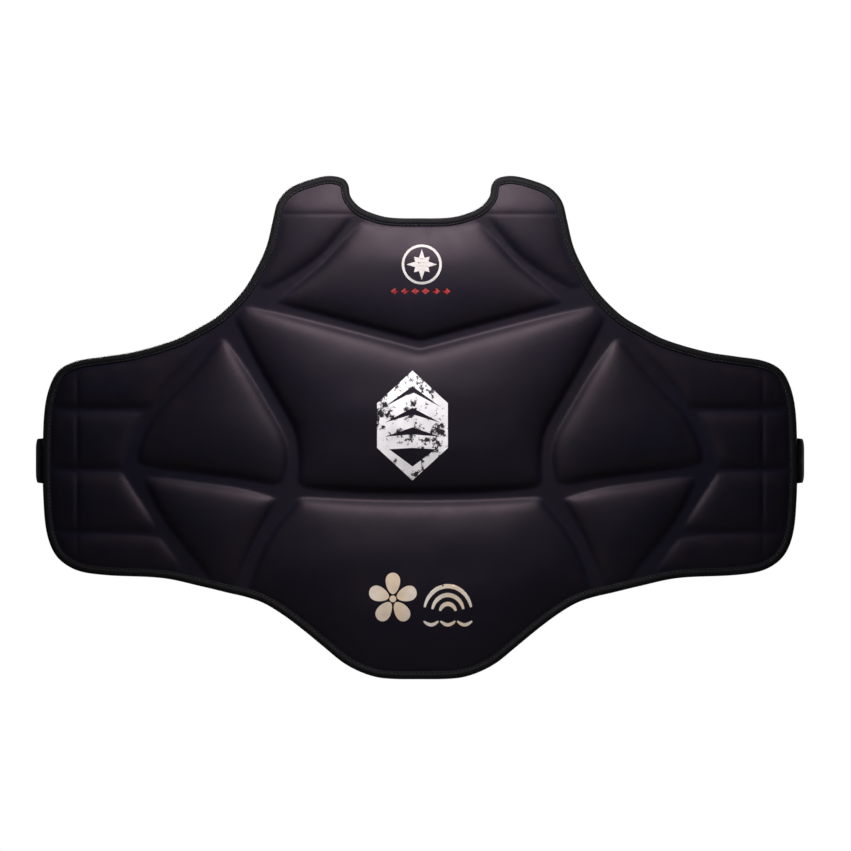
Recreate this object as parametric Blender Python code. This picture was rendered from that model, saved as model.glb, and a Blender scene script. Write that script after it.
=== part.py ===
"""Padded chest protector, built upright as it is worn.

Frame: the flat middle of the inner (body side) face lies in the plane y = 0
round the origin, the padded face looks along -Y, +Z is up and +X is the
wearer's left. Lengths in the tables are millimetres; the meshes are metres.

Layers, from the wearer outwards: lining, EVA backing sheet, foam pads, moulded
face skin, with a binding tape folded over every free edge. The side wings fold
back at a moulded channel, the shoulder flaps fold back at a crease, and four
straps hinge on their stitch lines. All flat layers are cut at the same upright
lines and then swept back by the same amount, so the gaps between them stay.
"""

import math

import bmesh
import bpy
import numpy as np
from mathutils import Vector

MM = 0.001

# ---------------------------------------------------------------- dimensions
GAP = 0.3              # clearance between touching layers
LINING_T = 1.2         # nylon lining with its scrim
BACKING_T = 6.0        # EVA backing sheet
SKIN_T = 1.2           # PU face skin
BIND_T = 0.9           # folded binding tape, one leg
BIND_LEG = 7.0         # reach of the binding over the edge
FLAT_HALF = 60.0       # half width of the flat middle
SWEEP_R = 700.0        # radius of the panel's curve outside the flat middle
SWEEP_STEP = 40.0      # pitch of the upright fold lines that make the curve
HINGE_X = 321.0        # wing fold line
HINGE_CUT = 0.5        # half gap between torso and wing solids
CREASE_Z = 229.5       # shoulder flap crease
CREASE_CUT = 0.5       # half gap at the crease
FLAP_LEAN = 0.25       # backward slope of the shoulder flaps
FLAP_FOAM_T = 6.0
STRAP_W = 50.0         # waist strap
STRAP_Z = -44.5
STRAP_T = 1.5
STRAP_IN, STRAP_OUT = 345.0, 416.5
FOLD_X = 417.2         # stitch line that the waist strap swings on
SH_STRAP_X0, SH_STRAP_X1 = 95.0, 133.0
SH_STRAP_TOP, SH_STRAP_END = 247.0, -140.0
SH_STRAP_Y0 = 9.0

Y_LINING = (0.0, -LINING_T)
Y_BACKING = (-LINING_T - GAP, -LINING_T - GAP - BACKING_T)
Y_PAD = Y_BACKING[1] - GAP                  # base plane of the foam pads
Y_SKIN = Y_PAD                              # inner side of the skin in a channel
Y_BIND = Y_SKIN - SKIN_T - GAP - BIND_T     # front of the binding

# Half outlines, (x, z), from the top middle round to the bottom middle.
NECK = [(0, 217), (34, 218), (54, 223.5), (65, 229)]
ARM = [(154.8, 229), (158.5, 215), (165, 188), (174.7, 166), (191, 139), (217, 113),
       (238.7, 99.8), (264.7, 86.8), (310, 73.8), (320.5, 72.2)]
BOTTOM = [(320.5, -169), (277.8, -171), (234, -180), (206, -186.6), (186.6, -191),
          (168, -197.5), (146.5, -210.5), (124.8, -226.8), (103, -244.7), (81.4, -262),
          (59.7, -272.9), (39, -278), (0, -279)]
WING = [(321.5, 72.1), (342, 69), (374, 64), (393, 54), (403.6, 34.7), (409, 8.7),
        (410.7, -38), (410, -86.8), (405.8, -124.8), (395, -148.6), (374, -162.8),
        (343, -168), (321.5, -169)]
FLAP = [(66, 230), (75, 241), (77, 253), (82.5, 260), (99, 263), (121.5, 258),
        (141, 249.5), (153, 235.5), (154.5, 230)]

# Foam pads: half or whole outlines, (x, z), with height and rim inset.
UPPER_CHEST = [(0, 207.2), (48.8, 210.5), (62.9, 209.4), (83.5, 191), (99.8, 172.5),
               (124.8, 150.8), (155.2, 127), (0, 85.7)]
SHOULDER = [(86.8, 220.3), (77, 212.7), (92.2, 194.2), (110.7, 174.7), (138.9, 155.2),
            (164.9, 141), (173.6, 147.6), (163.8, 167.1), (156.2, 186.6), (150.8, 206.2),
            (148.6, 220.3)]
CENTER = [(0, 74.9), (132.4, 109.6), (186.6, 121.5), (198.6, 109.6), (173.6, 58.6),
          (149.7, 17.4), (134.5, -11.9), (130.2, -39.1), (131.3, -65.1), (126.9, -71.6),
          (65.1, -76), (0, -77)]
SIDE = [(217, 83.5), (238.7, 57.5), (266.9, 26), (285.4, 6.5), (298.4, -16.3),
        (304.9, -36.9), (303.8, -46.7), (277.8, -49.9), (236.5, -55.3), (196.4, -60.8),
        (151.9, -69.4), (145.4, -62.9), (142.1, -39.1), (146.5, -17.4), (161.7, 10.9),
        (186.6, 53.2), (210.5, 85.7)]
LOWER_SIDE = [(153, -84.6), (196.4, -73.8), (236.5, -68.4), (277.8, -62.9), (300.5, -61.8),
              (277.8, -104.2), (240.9, -151.9), (232.2, -164.9), (198.6, -174.7),
              (193.1, -162.8), (174.7, -121.5)]
BELLY = [(0, -87.9), (65.1, -86.8), (130.2, -83.5), (161.7, -125.9), (179, -167.1),
         (164.9, -185.5), (141, -199.6), (119.4, -214.8), (96.6, -234.4), (76, -250.6),
         (55.3, -261.5), (36.9, -266.9), (0, -266.9)]
FLANK = [
    [(228.9, 86.8), (260.4, 74.9), (308.1, 62.9), (317.9, 61.8), (317.9, 17.4),
     (291.9, 17.4), (276.7, 35.8), (249.6, 66.2)],
    [(299.5, 5.4), (317.9, 5.4), (317.9, -31.5), (313.6, -31.5), (309.2, -15.2)],
    [(317.9, -69.4), (317.9, -116.1), (286.4, -116.1), (293, -105.2)],
    [(279.9, -130.2), (317.9, -126.9), (317.9, -158.4), (277.8, -160.6), (256.1, -164.9),
     (251.7, -162.8)],
]
WING_PADS = [
    [(324.4, 60.8), (374.3, 54.3), (387.3, 44.5), (394.9, 30.4), (398.2, 17.4), (324.4, 17.4)],
    [(324.4, 5.4), (399.3, 5.4), (399.3, -47.7), (324.4, -47.7)],
    [(324.4, -59.7), (399.3, -59.7), (397.1, -116.1), (324.4, -116.1)],
    [(324.4, -126.9), (394.9, -126.9), (388.4, -143.2), (374.3, -154.1), (324.4, -157.3)],
]
# (name, half/whole outline, symmetric about x = 0, height, rim inset)
TORSO_PADS = [
    ("foam_upper_chest", UPPER_CHEST, True, 22.0, 6.5),
    ("foam_shoulder", SHOULDER, False, 17.0, 4.5),
    ("foam_center_chest", CENTER, True, 24.0, 6.5),
    ("foam_side", SIDE, False, 24.0, 6.0),
    ("foam_lower_side", LOWER_SIDE, False, 21.0, 6.0),
    ("foam_belly", BELLY, True, 24.0, 6.5),
    ("foam_flank_1", FLANK[0], False, 14.0, 4.5),
    ("foam_flank_2", FLANK[1], False, 14.0, 1.6),
    ("foam_flank_3", FLANK[2], False, 14.0, 4.5),
    ("foam_flank_4", FLANK[3], False, 14.0, 2.4),
]
WING_PAD_H, WING_PAD_RIM = 14.0, 5.0


# ------------------------------------------------------------- scene and looks
for _ob in list(bpy.data.objects):
    bpy.data.objects.remove(_ob, do_unlink=True)

PARTS = bpy.data.collections.new("chest_protector")
bpy.context.scene.collection.children.link(PARTS)


def material(name, colour, rough, metal=0.0):
    mat = bpy.data.materials.get(name)
    if mat:
        return mat
    mat = bpy.data.materials.new(name)
    mat.use_nodes = True
    node = mat.node_tree.nodes["Principled BSDF"]
    node.inputs["Base Color"].default_value = (*colour, 1.0)
    node.inputs["Roughness"].default_value = rough
    node.inputs["Metallic"].default_value = metal
    mat.diffuse_color = (*colour, 1.0)
    return mat


LOOKS = {
    "skin": ((0.016, 0.015, 0.020), 0.46),
    "lining": ((0.014, 0.014, 0.016), 0.80),
    "backing": ((0.060, 0.060, 0.064), 0.85),
    "foam": ((0.085, 0.085, 0.090), 0.90),
    "binding": ((0.010, 0.010, 0.012), 0.62),
    "webbing": ((0.018, 0.018, 0.022), 0.75),
    "hook": ((0.022, 0.022, 0.024), 0.88),
    "loop": ((0.016, 0.016, 0.018), 0.95),
}


# ------------------------------------------------------------------ 2D helpers
def area(loop):
    return 0.5 * sum(a[0] * b[1] - b[0] * a[1] for a, b in zip(loop, loop[1:] + loop[:1]))


def clockwise(loop):
    """Inside on the right of every edge."""
    return list(loop) if area(loop) < 0 else list(loop)[::-1]


def mirrored(loop):
    return clockwise([(-x, z) for x, z in loop])


def whole(half):
    """A half outline from x = 0 to x = 0, closed with its mirror image."""
    return clockwise(list(half) + [(-x, z) for x, z in reversed(half) if x > 0])


def inset(loop, reach):
    """Each edge of a clockwise loop moved inwards by its own reach."""
    count = len(loop)
    lines = []
    for i in range(count):
        a, b = Vector(loop[i]), Vector(loop[(i + 1) % count])
        along = (b - a).normalized()
        inward = Vector((along.y, -along.x))
        lines.append((a + inward * reach[i], along, inward))
    out = []
    for i in range(count):
        (p, d, _), (q, e, n) = lines[i - 1], lines[i]
        cross = d.x * e.y - d.y * e.x
        if abs(cross) < 1e-4:
            out.append(Vector(loop[i]) + n * reach[i])
            continue
        s = ((q.x - p.x) * e.y - (q.y - p.y) * e.x) / cross
        out.append(p + d * s)
    for i in range(count):
        a, b = out[i], out[(i + 1) % count]
        if (b - a).dot(lines[i][1]) <= 0.05:
            raise ValueError(f"inset folds over at {loop[i]}")
    return [(v.x, v.y) for v in out]


# ------------------------------------------------------------------ 3D helpers
KNOTS = [0.0, FLAT_HALF] + [FLAT_HALF + SWEEP_STEP * i for i in range(1, 10)]
SWEEP = [0.0] + [SWEEP_R - math.sqrt(SWEEP_R ** 2 - (k - FLAT_HALF) ** 2) for k in KNOTS[1:]]


def sweep(x):
    """How far back the panel stands at x."""
    return float(np.interp(abs(x), KNOTS, SWEEP))


def finish(name, bm, look, curved=True, lean=False):
    """Cut at the fold lines, sweep back, and hand over as one named object."""
    if curved:
        for k in KNOTS[1:]:
            for side in (-1, 1):
                bmesh.ops.bisect_plane(
                    bm, geom=bm.verts[:] + bm.edges[:] + bm.faces[:], dist=1e-3,
                    plane_co=(side * k, 0, 0), plane_no=(1, 0, 0))
    for v in bm.verts:
        if curved:
            v.co.y += sweep(v.co.x)
        if lean:
            v.co.y += FLAP_LEAN * (v.co.z - CREASE_Z)
        v.co *= MM
    bmesh.ops.remove_doubles(bm, verts=bm.verts[:], dist=2e-6)
    bmesh.ops.triangulate(bm, faces=bm.faces[:])
    bmesh.ops.recalc_face_normals(bm, faces=bm.faces[:])
    mesh = bpy.data.meshes.new(name)
    bm.to_mesh(mesh)
    bm.free()
    colour, rough = LOOKS[look]
    mesh.materials.append(material(name, colour, rough))
    ob = bpy.data.objects.new(name, mesh)
    PARTS.objects.link(ob)
    return ob


def outline_mesh(loops, y0, y1):
    """Flat outline with holes, as a filled 2D curve extruded along Y; y0 == y1 gives a sheet."""
    curve = bpy.data.curves.new("outline", "CURVE")
    curve.dimensions = "2D"
    flat = abs(y0 - y1) < 1e-9
    curve.fill_mode = "FRONT" if flat else "BOTH"
    curve.extrude = 0.0 if flat else abs(y0 - y1) / 2
    curve.render_resolution_u = 0
    for loop in loops:
        spline = curve.splines.new("POLY")
        spline.points.add(len(loop) - 1)
        for point, (x, z) in zip(spline.points, loop):
            point.co = (x, z, 0.0, 1.0)
        spline.use_cyclic_u = True
    holder = bpy.data.objects.new("outline", curve)
    holder.rotation_euler = (math.pi / 2, 0, 0)
    holder.location = (0, (y0 + y1) / 2, 0)
    bpy.context.scene.collection.objects.link(holder)
    bpy.context.view_layer.update()
    graph = bpy.context.evaluated_depsgraph_get()
    mesh = bpy.data.meshes.new_from_object(holder.evaluated_get(graph))
    bm = bmesh.new()
    bm.from_mesh(mesh)
    bmesh.ops.transform(bm, matrix=holder.matrix_world, verts=bm.verts[:])
    bmesh.ops.remove_doubles(bm, verts=bm.verts[:], dist=0.002)
    bpy.data.objects.remove(holder, do_unlink=True)
    bpy.data.meshes.remove(mesh)
    return bm


def sheet(name, loop, ys, look, lean=False, curved=True):
    return finish(name, outline_mesh([loop], *ys), look, curved, lean)


def box(name, x0, x1, z0, z1, y0, y1, look, curved=True):
    """A flat patch or a length of webbing, from a cube."""
    bm = bmesh.new()
    bmesh.ops.create_cube(bm, size=1.0)
    for v in bm.verts:
        v.co = ((x0 + x1) / 2 + v.co.x * (x1 - x0), (y0 + y1) / 2 + v.co.y * (y1 - y0),
                (z0 + z1) / 2 + v.co.z * (z1 - z0))
    return finish(name, bm, look, curved)


def rings_of(loop, height, rim):
    """A pad's rim as three loops: foot, shoulder and top edge."""
    loop = clockwise(loop)
    n = len(loop)
    return [(loop, 0.0), (inset(loop, [rim * 0.3] * n), height * 0.62),
            (inset(loop, [rim] * n), height)]


def add_rings(bm, rings, y_foot, cap_top=True, cap_foot=False):
    """Walls lofted between a pad's loops, with its flat top."""
    rows = [[bm.verts.new((x, y_foot - h, z)) for x, z in loop] for loop, h in rings]
    for low, high in zip(rows, rows[1:]):
        for i in range(len(low)):
            j = (i + 1) % len(low)
            bm.faces.new((low[i], low[j], high[j], high[i]))
    if cap_top:
        bm.faces.new(rows[-1])
    if cap_foot:
        bm.faces.new(rows[0][::-1])


def pad(name, rings):
    bm = bmesh.new()
    add_rings(bm, rings, Y_PAD, cap_foot=True)
    return finish(name, bm, "foam")


def skin(name, loop, pads):
    """The moulded face: flat between the pads, up and over each pad, then given its thickness."""
    bm = outline_mesh([loop] + [rings[0][0] for rings in pads], Y_SKIN - GAP, Y_SKIN - GAP)
    for rings in pads:
        add_rings(bm, rings, Y_SKIN - GAP)
    bmesh.ops.remove_doubles(bm, verts=bm.verts[:], dist=0.01)
    bmesh.ops.recalc_face_normals(bm, faces=bm.faces[:])
    made = bmesh.ops.extrude_face_region(bm, geom=bm.faces[:])
    front = [g for g in made["geom"] if isinstance(g, bmesh.types.BMVert)]
    bmesh.ops.translate(bm, vec=(0, -(SKIN_T - GAP), 0), verts=front)
    # extrude_face_region leaves the first layer in place, so the two are now one closed shell
    return finish(name, bm, "skin")


def binding(name, loop, cuts, path, lean=False):
    """A tape folded over the edge: a U section carried along part of the outline."""
    n = len(loop)

    def at(depth):
        return inset(loop, [0.0 if i in cuts else depth for i in range(n)])

    outer, wall, leg = at(0.0001), at(BIND_T), at(BIND_LEG)
    section = [(outer, 0.0), (outer, Y_BIND), (leg, Y_BIND), (leg, Y_BIND + BIND_T),
               (wall, Y_BIND + BIND_T), (wall, -LINING_T), (leg, -LINING_T), (leg, 0.0)]
    bm = bmesh.new()
    rows = [[bm.verts.new((line[i][0], y, line[i][1])) for line, y in section] for i in path]
    for a, b in zip(rows, rows[1:]):
        for i in range(len(section)):
            j = (i + 1) % len(section)
            bm.faces.new((a[i], a[j], b[j], b[i]))
    bm.faces.new(rows[0][::-1])
    bm.faces.new(rows[-1])
    return finish(name, bm, "binding", lean=lean)


def layered(loop, cuts, depth):
    return inset(loop, [0.0001 if i in cuts else depth for i in range(len(loop))])


def empty(name, where, parent=None):
    ob = bpy.data.objects.new(name, None)
    ob.empty_display_size = 0.03
    PARTS.objects.link(ob)
    base = Vector((0, 0, 0))
    if parent:
        ob.parent = parent
        base = Vector(parent["axis_point"])
    point = Vector(where) * MM
    ob["axis_point"] = tuple(point)
    ob.location = point - base
    return ob


def hang(obs, pivot):
    """Moving pieces keep their place and follow the pivot empty on their joint axis."""
    for ob in obs:
        ob.parent = pivot
        ob.location = -Vector(pivot["axis_point"])


# ----------------------------------------------------------------------- torso
HALF = NECK + ARM + BOTTOM
TORSO = whole(HALF)


def edge_index(loop, a, b):
    """The edge between two corners of a loop."""
    n = len(loop)

    def near(p, q):
        return abs(p[0] - q[0]) < 1e-6 and abs(p[1] - q[1]) < 1e-6

    for i in range(n):
        p, q = loop[i], loop[(i + 1) % n]
        if (near(p, a) and near(q, b)) or (near(p, b) and near(q, a)):
            return i
    raise ValueError("no such edge")


def vertex_path(loop, a, b):
    """Corner numbers from a to b, clockwise."""
    n = len(loop)
    start = min(range(n), key=lambda i: math.dist(loop[i], a))
    end = min(range(n), key=lambda i: math.dist(loop[i], b))
    out = [start]
    while out[-1] != end:
        out.append((out[-1] + 1) % n)
    return out


def flip(p):
    return (-p[0], p[1])


TORSO_CUTS = [edge_index(TORSO, NECK[-1], ARM[0]), edge_index(TORSO, flip(NECK[-1]), flip(ARM[0])),
              edge_index(TORSO, ARM[-1], BOTTOM[0]),
              edge_index(TORSO, flip(ARM[-1]), flip(BOTTOM[0]))]

sheet("lining_torso", layered(TORSO, TORSO_CUTS, BIND_LEG + GAP), Y_LINING, "lining")
sheet("backing_sheet_torso", layered(TORSO, TORSO_CUTS, BIND_T + GAP), Y_BACKING, "backing")

torso_rings = []
for pad_name, shape, symmetric, height, rim in TORSO_PADS:
    if symmetric:
        rings = rings_of(whole(shape), height, rim)
        pad(pad_name, rings)
        torso_rings.append(rings)
    else:
        for side, loop in (("left", clockwise(shape)), ("right", mirrored(shape))):
            rings = rings_of(loop, height, rim)
            pad(f"{pad_name}_{side}", rings)
            torso_rings.append(rings)
skin("face_skin_torso", layered(TORSO, TORSO_CUTS, BIND_T + GAP), torso_rings)

binding("binding_neck", TORSO, TORSO_CUTS, vertex_path(TORSO, flip(NECK[-1]), NECK[-1]))
binding("binding_armhole_left", TORSO, TORSO_CUTS, vertex_path(TORSO, ARM[0], ARM[-1]))
binding("binding_armhole_right", TORSO, TORSO_CUTS, vertex_path(TORSO, flip(ARM[-1]), flip(ARM[0])))
binding("binding_bottom", TORSO, TORSO_CUTS, vertex_path(TORSO, BOTTOM[0], flip(BOTTOM[0])))

# ---------------------------------------------------------------- wings, flaps
for side, sign in (("left", 1), ("right", -1)):
    turn = (lambda loop: clockwise(loop)) if sign > 0 else mirrored

    wing = turn(WING)
    ends = (WING[0], WING[-1]) if sign > 0 else (flip(WING[0]), flip(WING[-1]))
    cut = [edge_index(wing, *ends)]
    made = [sheet(f"lining_wing_{side}", layered(wing, cut, BIND_LEG + GAP), Y_LINING, "lining"),
            sheet(f"backing_sheet_wing_{side}", layered(wing, cut, BIND_T + GAP), Y_BACKING,
                  "backing")]
    rings_here = []
    for number, shape in enumerate(WING_PADS, 1):
        rings = rings_of(turn(shape), WING_PAD_H, WING_PAD_RIM)
        rings_here.append(rings)
        made.append(pad(f"foam_wing_{number}_{side}", rings))
    made.append(skin(f"face_skin_wing_{side}", layered(wing, cut, BIND_T + GAP), rings_here))
    ends_cw = ends if sign > 0 else ends[::-1]
    made.append(binding(f"binding_wing_{side}", wing, cut, vertex_path(wing, *ends_cw)))
    z0, z1 = STRAP_Z - STRAP_W / 2, STRAP_Z + STRAP_W / 2
    xs = sorted((sign * STRAP_IN, sign * STRAP_OUT))
    made.append(box(f"waist_strap_base_{side}", *xs, z0, z1, GAP, GAP + STRAP_T, "webbing"))
    pivot_wing = empty(f"pivot_wing_{side}", (sign * HINGE_X, sweep(HINGE_X) + 1.0, -48))
    hang(made, pivot_wing)

    # the free end of the waist strap, lying back over its sewn end
    free_y = GAP + STRAP_T + 0.6
    free = [box(f"waist_strap_{side}", *xs, z0, z1, free_y, free_y + STRAP_T, "webbing")]
    px = sorted((sign * (STRAP_IN + 4), sign * (STRAP_IN + 54)))
    face = "hook" if sign > 0 else "loop"
    patch_y = free_y + STRAP_T + GAP
    free.append(box(f"{face}_patch_waist_{side}", *px, z0 + 3, z1 - 3, patch_y, patch_y + 1.2,
                    face))
    pivot_strap = empty(f"pivot_waist_strap_{side}",
                        (sign * FOLD_X, sweep(FOLD_X) + free_y - 0.3, STRAP_Z), pivot_wing)
    hang(free, pivot_strap)

    # shoulder flap
    flap = turn(FLAP)
    ends = (FLAP[0], FLAP[-1]) if sign > 0 else (flip(FLAP[0]), flip(FLAP[-1]))
    cut = [edge_index(flap, *ends)]
    foam_y = (-LINING_T - GAP, -LINING_T - GAP - FLAP_FOAM_T)
    made = [
        sheet(f"lining_flap_{side}", layered(flap, cut, BIND_LEG + GAP), Y_LINING, "lining",
              lean=True),
        sheet(f"foam_flap_{side}", layered(flap, cut, BIND_T + GAP), foam_y, "foam", lean=True),
        sheet(f"face_skin_flap_{side}", layered(flap, cut, BIND_T + GAP),
              (Y_SKIN, Y_SKIN - SKIN_T), "skin", lean=True),
    ]
    ends_cw = ends if sign > 0 else ends[::-1]
    made.append(binding(f"binding_flap_{side}", flap, cut, vertex_path(flap, *ends_cw), lean=True))
    flap_x = sign * (SH_STRAP_X0 + SH_STRAP_X1) / 2
    flap_y = sweep(154.5) + 1.0
    pivot_flap = empty(f"pivot_flap_{side}", (flap_x, flap_y, CREASE_Z))
    hang(made, pivot_flap)

    # shoulder strap, hanging flat behind the panel from the stitch line under the flap's top
    xs = sorted((sign * SH_STRAP_X0, sign * SH_STRAP_X1))
    y0, y1 = SH_STRAP_Y0, SH_STRAP_Y0 + STRAP_T
    made = [box(f"shoulder_strap_{side}", *xs, SH_STRAP_END, SH_STRAP_TOP, y0, y1, "webbing",
                curved=False),
            box(f"hook_patch_shoulder_{side}", xs[0] + 2, xs[1] - 2, SH_STRAP_END + 4,
                SH_STRAP_END + 74, y1 + GAP, y1 + GAP + 1.2, "hook", curved=False)]
    pivot_lift = empty(f"pivot_shoulder_strap_{side}",
                       (flap_x, (y0 + y1) / 2, SH_STRAP_TOP + 0.5), pivot_flap)
    hang(made, pivot_lift)

bpy.context.view_layer.update()
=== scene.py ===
"""Chest protector: the looks.

The moulded face is one sheet of PU leather drawn over foam pads. It is meshed
along the pads' rims, its height is relaxed as a stretched skin over foam, it
leans back above the shoulder creases, and it is then cut into pieces, of which
the centre one rides on the torso. Binding, stitching, prints, lining, webbing
and hook-and-loop tape are pieces of their own.
"""
import math

import bmesh
import bpy
import numpy as np
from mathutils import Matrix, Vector
from mathutils.bvhtree import BVHTree
from mathutils.geometry import delaunay_2d_cdt


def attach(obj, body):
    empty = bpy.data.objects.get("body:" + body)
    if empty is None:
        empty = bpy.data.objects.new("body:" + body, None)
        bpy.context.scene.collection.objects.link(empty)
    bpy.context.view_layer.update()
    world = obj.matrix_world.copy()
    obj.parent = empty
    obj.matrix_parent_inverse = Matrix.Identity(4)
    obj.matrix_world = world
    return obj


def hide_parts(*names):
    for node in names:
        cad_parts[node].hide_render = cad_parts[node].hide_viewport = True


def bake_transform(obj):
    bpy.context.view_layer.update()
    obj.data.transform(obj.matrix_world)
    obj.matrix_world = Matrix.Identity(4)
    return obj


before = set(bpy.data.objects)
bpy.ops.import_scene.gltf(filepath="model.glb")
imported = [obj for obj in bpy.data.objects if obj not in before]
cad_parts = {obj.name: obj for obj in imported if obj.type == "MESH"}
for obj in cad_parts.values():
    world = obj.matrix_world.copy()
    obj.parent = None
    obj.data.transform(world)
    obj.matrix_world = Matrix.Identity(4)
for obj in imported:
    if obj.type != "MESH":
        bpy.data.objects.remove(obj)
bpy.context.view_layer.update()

MM = 0.001
FLAT_HALF, SWEEP_R = 60.0, 700.0
HINGE_X, CREASE_Z, FLAP_LEAN = 321.0, 229.5, 0.25
FACE_Y = -9.0            # moulded channel floor
STRAP_Z, STRAP_W = -44.5, 50.0
FOLD_X = 417.2
RNG = np.random.default_rng(7)

# ------------------------------------------------------------------ form, in mm
HALF = [(0, 217), (34, 218), (54, 223.5), (66, 230), (75, 241), (77, 253), (82.5, 260),
        (99, 263), (121.5, 258), (141, 249.5), (153, 235.5), (158.5, 215), (165, 188),
        (174.7, 166), (191, 139), (217, 113), (238.7, 99.8), (264.7, 86.8), (310, 73.8),
        (342, 69), (374, 64), (393, 54), (403.6, 34.7), (409, 8.7), (410.7, -38),
        (410, -86.8), (405.8, -124.8), (395, -148.6), (374, -162.8), (343, -168),
        (277.8, -171), (234, -180), (206, -186.6), (186.6, -191), (168, -197.5),
        (146.5, -210.5), (124.8, -226.8), (103, -244.7), (81.4, -262), (59.7, -272.9),
        (39, -278), (0, -279)]

# name, outline, symmetric, rim height, crown height, turn that counts as a corner. Outlines that
# reach past the binding are cut off at it.
PADS = [
    ("upper_chest", [(0, 213), (48.8, 216), (61, 214.5), (83.5, 191), (99.8, 172.5),
                     (124.8, 150.8), (155.2, 127), (0, 85.7)], True, 8.0, 12.5, 27),
    ("shoulder", [(77, 212.7), (92.2, 194.2), (110.7, 174.7), (138.9, 155.2),
                  (164.9, 141), (178, 146), (184, 172), (174, 205), (166, 240), (140, 270),
                  (80, 275), (60, 250), (62, 231)], False, 7.0, 10.5, 34),
    ("centre_chest", [(0, 74.9), (132.4, 109.6), (188.6, 122.5), (199.6, 109.6),
                      (173.6, 58.6), (149.7, 17.4), (134.5, -11.9), (130.2, -39.1),
                      (131.3, -65.1), (126.9, -71.6), (65.1, -76), (0, -77)], True, 8.4, 13.5, 27),
    ("side", [(217, 85.5), (238.7, 57.5), (266.9, 26), (285.4, 6.5), (298.4, -16.3),
              (304.9, -36.9), (303.8, -46.7), (277.8, -49.9), (236.5, -55.3),
              (196.4, -60.8), (151.9, -69.4), (145.4, -62.9), (142.1, -39.1),
              (146.5, -17.4), (161.7, 10.9), (186.6, 53.2), (210.5, 87.7)], False, 8.0, 15.5, 34),
    ("lower_side", [(153, -84.6), (196.4, -73.8), (236.5, -68.4), (277.8, -62.9),
                    (300.5, -61.8), (277.8, -104.2), (240.9, -151.9), (226, -172),
                    (222, -186), (200, -192), (196, -172), (174.7, -121.5)], False, 7.4, 14.0, 34),
    ("belly", [(0, -87.9), (65.1, -86.8), (130.2, -83.5), (161.7, -125.9), (180, -167.1),
               (189, -192), (160, -212), (124, -238), (82, -274), (40, -290), (0, -291)],
     True, 8.4, 13.0, 34),
    ("row_1", [(228.9, 88.8), (250, 97), (310, 82), (376, 73), (412, 56), (416, 13.8),
               (290, 13.8), (276.7, 33.8), (249.6, 64.2)], False, 5.6, 9.5, 34),
    ("row_2", [(298, 8.8), (416, 8.8), (416, -51.3), (323, -51.3), (317.9, -34.7),
               (309.3, -14.1)], False, 5.6, 10.0, 34),
    ("row_3", [(322, -56.3), (416, -56.3), (416, -119.3), (284.4, -119.3),
               (291, -105.2), (314, -69.6)], False, 5.6, 10.0, 34),
    ("row_4", [(279.9, -127.4), (317.9, -124.1), (414, -124.1), (400, -170),
               (344, -180), (256, -184), (244, -176)], False, 4.8, 8.0, 34),
]
BIND_IN = 8.8           # where the binding ends and the padded face starts


# ------------------------------------------------------------------ 2D geometry
def signed_area(p):
    x, z = p[:, 0], p[:, 1]
    return 0.5 * np.sum(x * np.roll(z, -1) - np.roll(x, -1) * z)


def clockwise(p):
    p = np.asarray(p, float)
    return p if signed_area(p) < 0 else p[::-1].copy()


def whole(half):
    half = list(half)
    return clockwise(half + [(-x, z) for x, z in reversed(half) if x > 0])


def mirrored(p):
    return clockwise([(-x, z) for x, z in p])


def hermite_loop(p, corner_deg, step=1.0):
    """Smooth curve through a loop's points, with corners kept where it turns sharply."""
    p = np.asarray(p, float)
    n = len(p)
    chord = np.roll(p, -1, 0) - p
    length = np.hypot(chord[:, 0], chord[:, 1])
    out = []
    turn = []
    for i in range(n):
        a, b = chord[i - 1], chord[i]
        turn.append(abs(math.degrees(math.atan2(a[0] * b[1] - a[1] * b[0], a @ b))))
    for i in range(n):
        j = (i + 1) % n
        tangent = []
        for k in (i, j):
            if turn[k] > corner_deg:
                tangent.append(chord[i])
            else:
                d = (p[(k + 1) % n] - p[k - 1]) / (length[k - 1] + length[k])
                tangent.append(d * length[i])
        m = max(2, int(length[i] / step))
        t = np.arange(m)[:, None] / m
        out.append((2 * t ** 3 - 3 * t ** 2 + 1) * p[i] + (t ** 3 - 2 * t ** 2 + t) * tangent[0]
                   + (-2 * t ** 3 + 3 * t ** 2) * p[j] + (t ** 3 - t ** 2) * tangent[1])
    return np.concatenate(out)


def resample(p, step, closed=True):
    q = np.vstack([p, p[:1]]) if closed else p
    s = np.concatenate([[0], np.cumsum(np.hypot(*np.diff(q, axis=0).T))])
    n = max(6, int(round(s[-1] / step)))
    at = np.linspace(0, s[-1], n, endpoint=not closed)
    return np.stack([np.interp(at, s, q[:, 0]), np.interp(at, s, q[:, 1])], 1)


def soften(p, passes):
    for _ in range(passes):
        p = 0.25 * np.roll(p, 1, 0) + 0.5 * p + 0.25 * np.roll(p, -1, 0)
    return p


def normals_of(p, closed=True):
    """Inward normals of a clockwise loop."""
    d = np.roll(p, -1, 0) - np.roll(p, 1, 0) if closed else np.gradient(p, axis=0)
    d /= np.hypot(d[:, 0], d[:, 1])[:, None] + 1e-12
    return np.stack([d[:, 1], -d[:, 0]], 1)


def distance_to(points, loop):
    """Distance from points to a closed loop."""
    best = np.full(len(points), 1e9)
    a, b = loop, np.roll(loop, -1, 0)
    ab = b - a
    ll = (ab ** 2).sum(1) + 1e-12
    for lo in range(0, len(points), 4000):
        q = points[lo:lo + 4000]
        t = np.clip(((q[:, None, :] - a[None]) * ab[None]).sum(2) / ll[None], 0, 1)
        d = q[:, None, :] - (a[None] + t[..., None] * ab[None])
        best[lo:lo + 4000] = np.sqrt((d ** 2).sum(2).min(1))
    return best


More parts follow.
